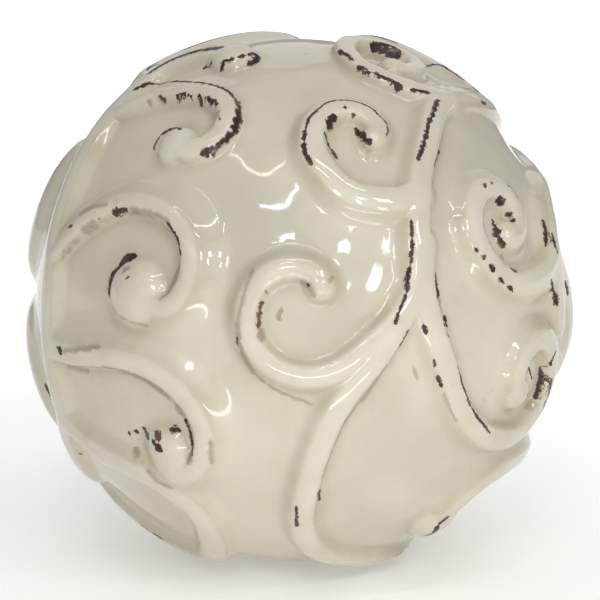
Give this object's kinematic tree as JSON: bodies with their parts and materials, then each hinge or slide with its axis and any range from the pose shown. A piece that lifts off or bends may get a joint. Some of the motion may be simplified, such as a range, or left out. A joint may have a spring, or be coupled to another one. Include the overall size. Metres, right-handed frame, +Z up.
{
  "type": "decorative sphere",
  "caption": "Glazed ceramic ball wrapped in raised scroll bands with knobbed curls, standing on a small flat spot, used as a loose table or bowl ornament.",
  "frame": {"origin": "centre of the flat spot on the underside", "axes": "+Z up through the ball's centre, front (the side with the long S-shaped stem) faces -Y, +X to the right seen from the front"},
  "size_m": [0.1194, 0.1201, 0.114],
  "materials": {
    "glaze": "glossy cream crackle-toned glaze, olive brown where it pools along the bands, worn to dark red brown on edges"
  },
  "bodies": {
    "root": {"scroll_sphere": "glaze"}
  },
  "joints": []
}
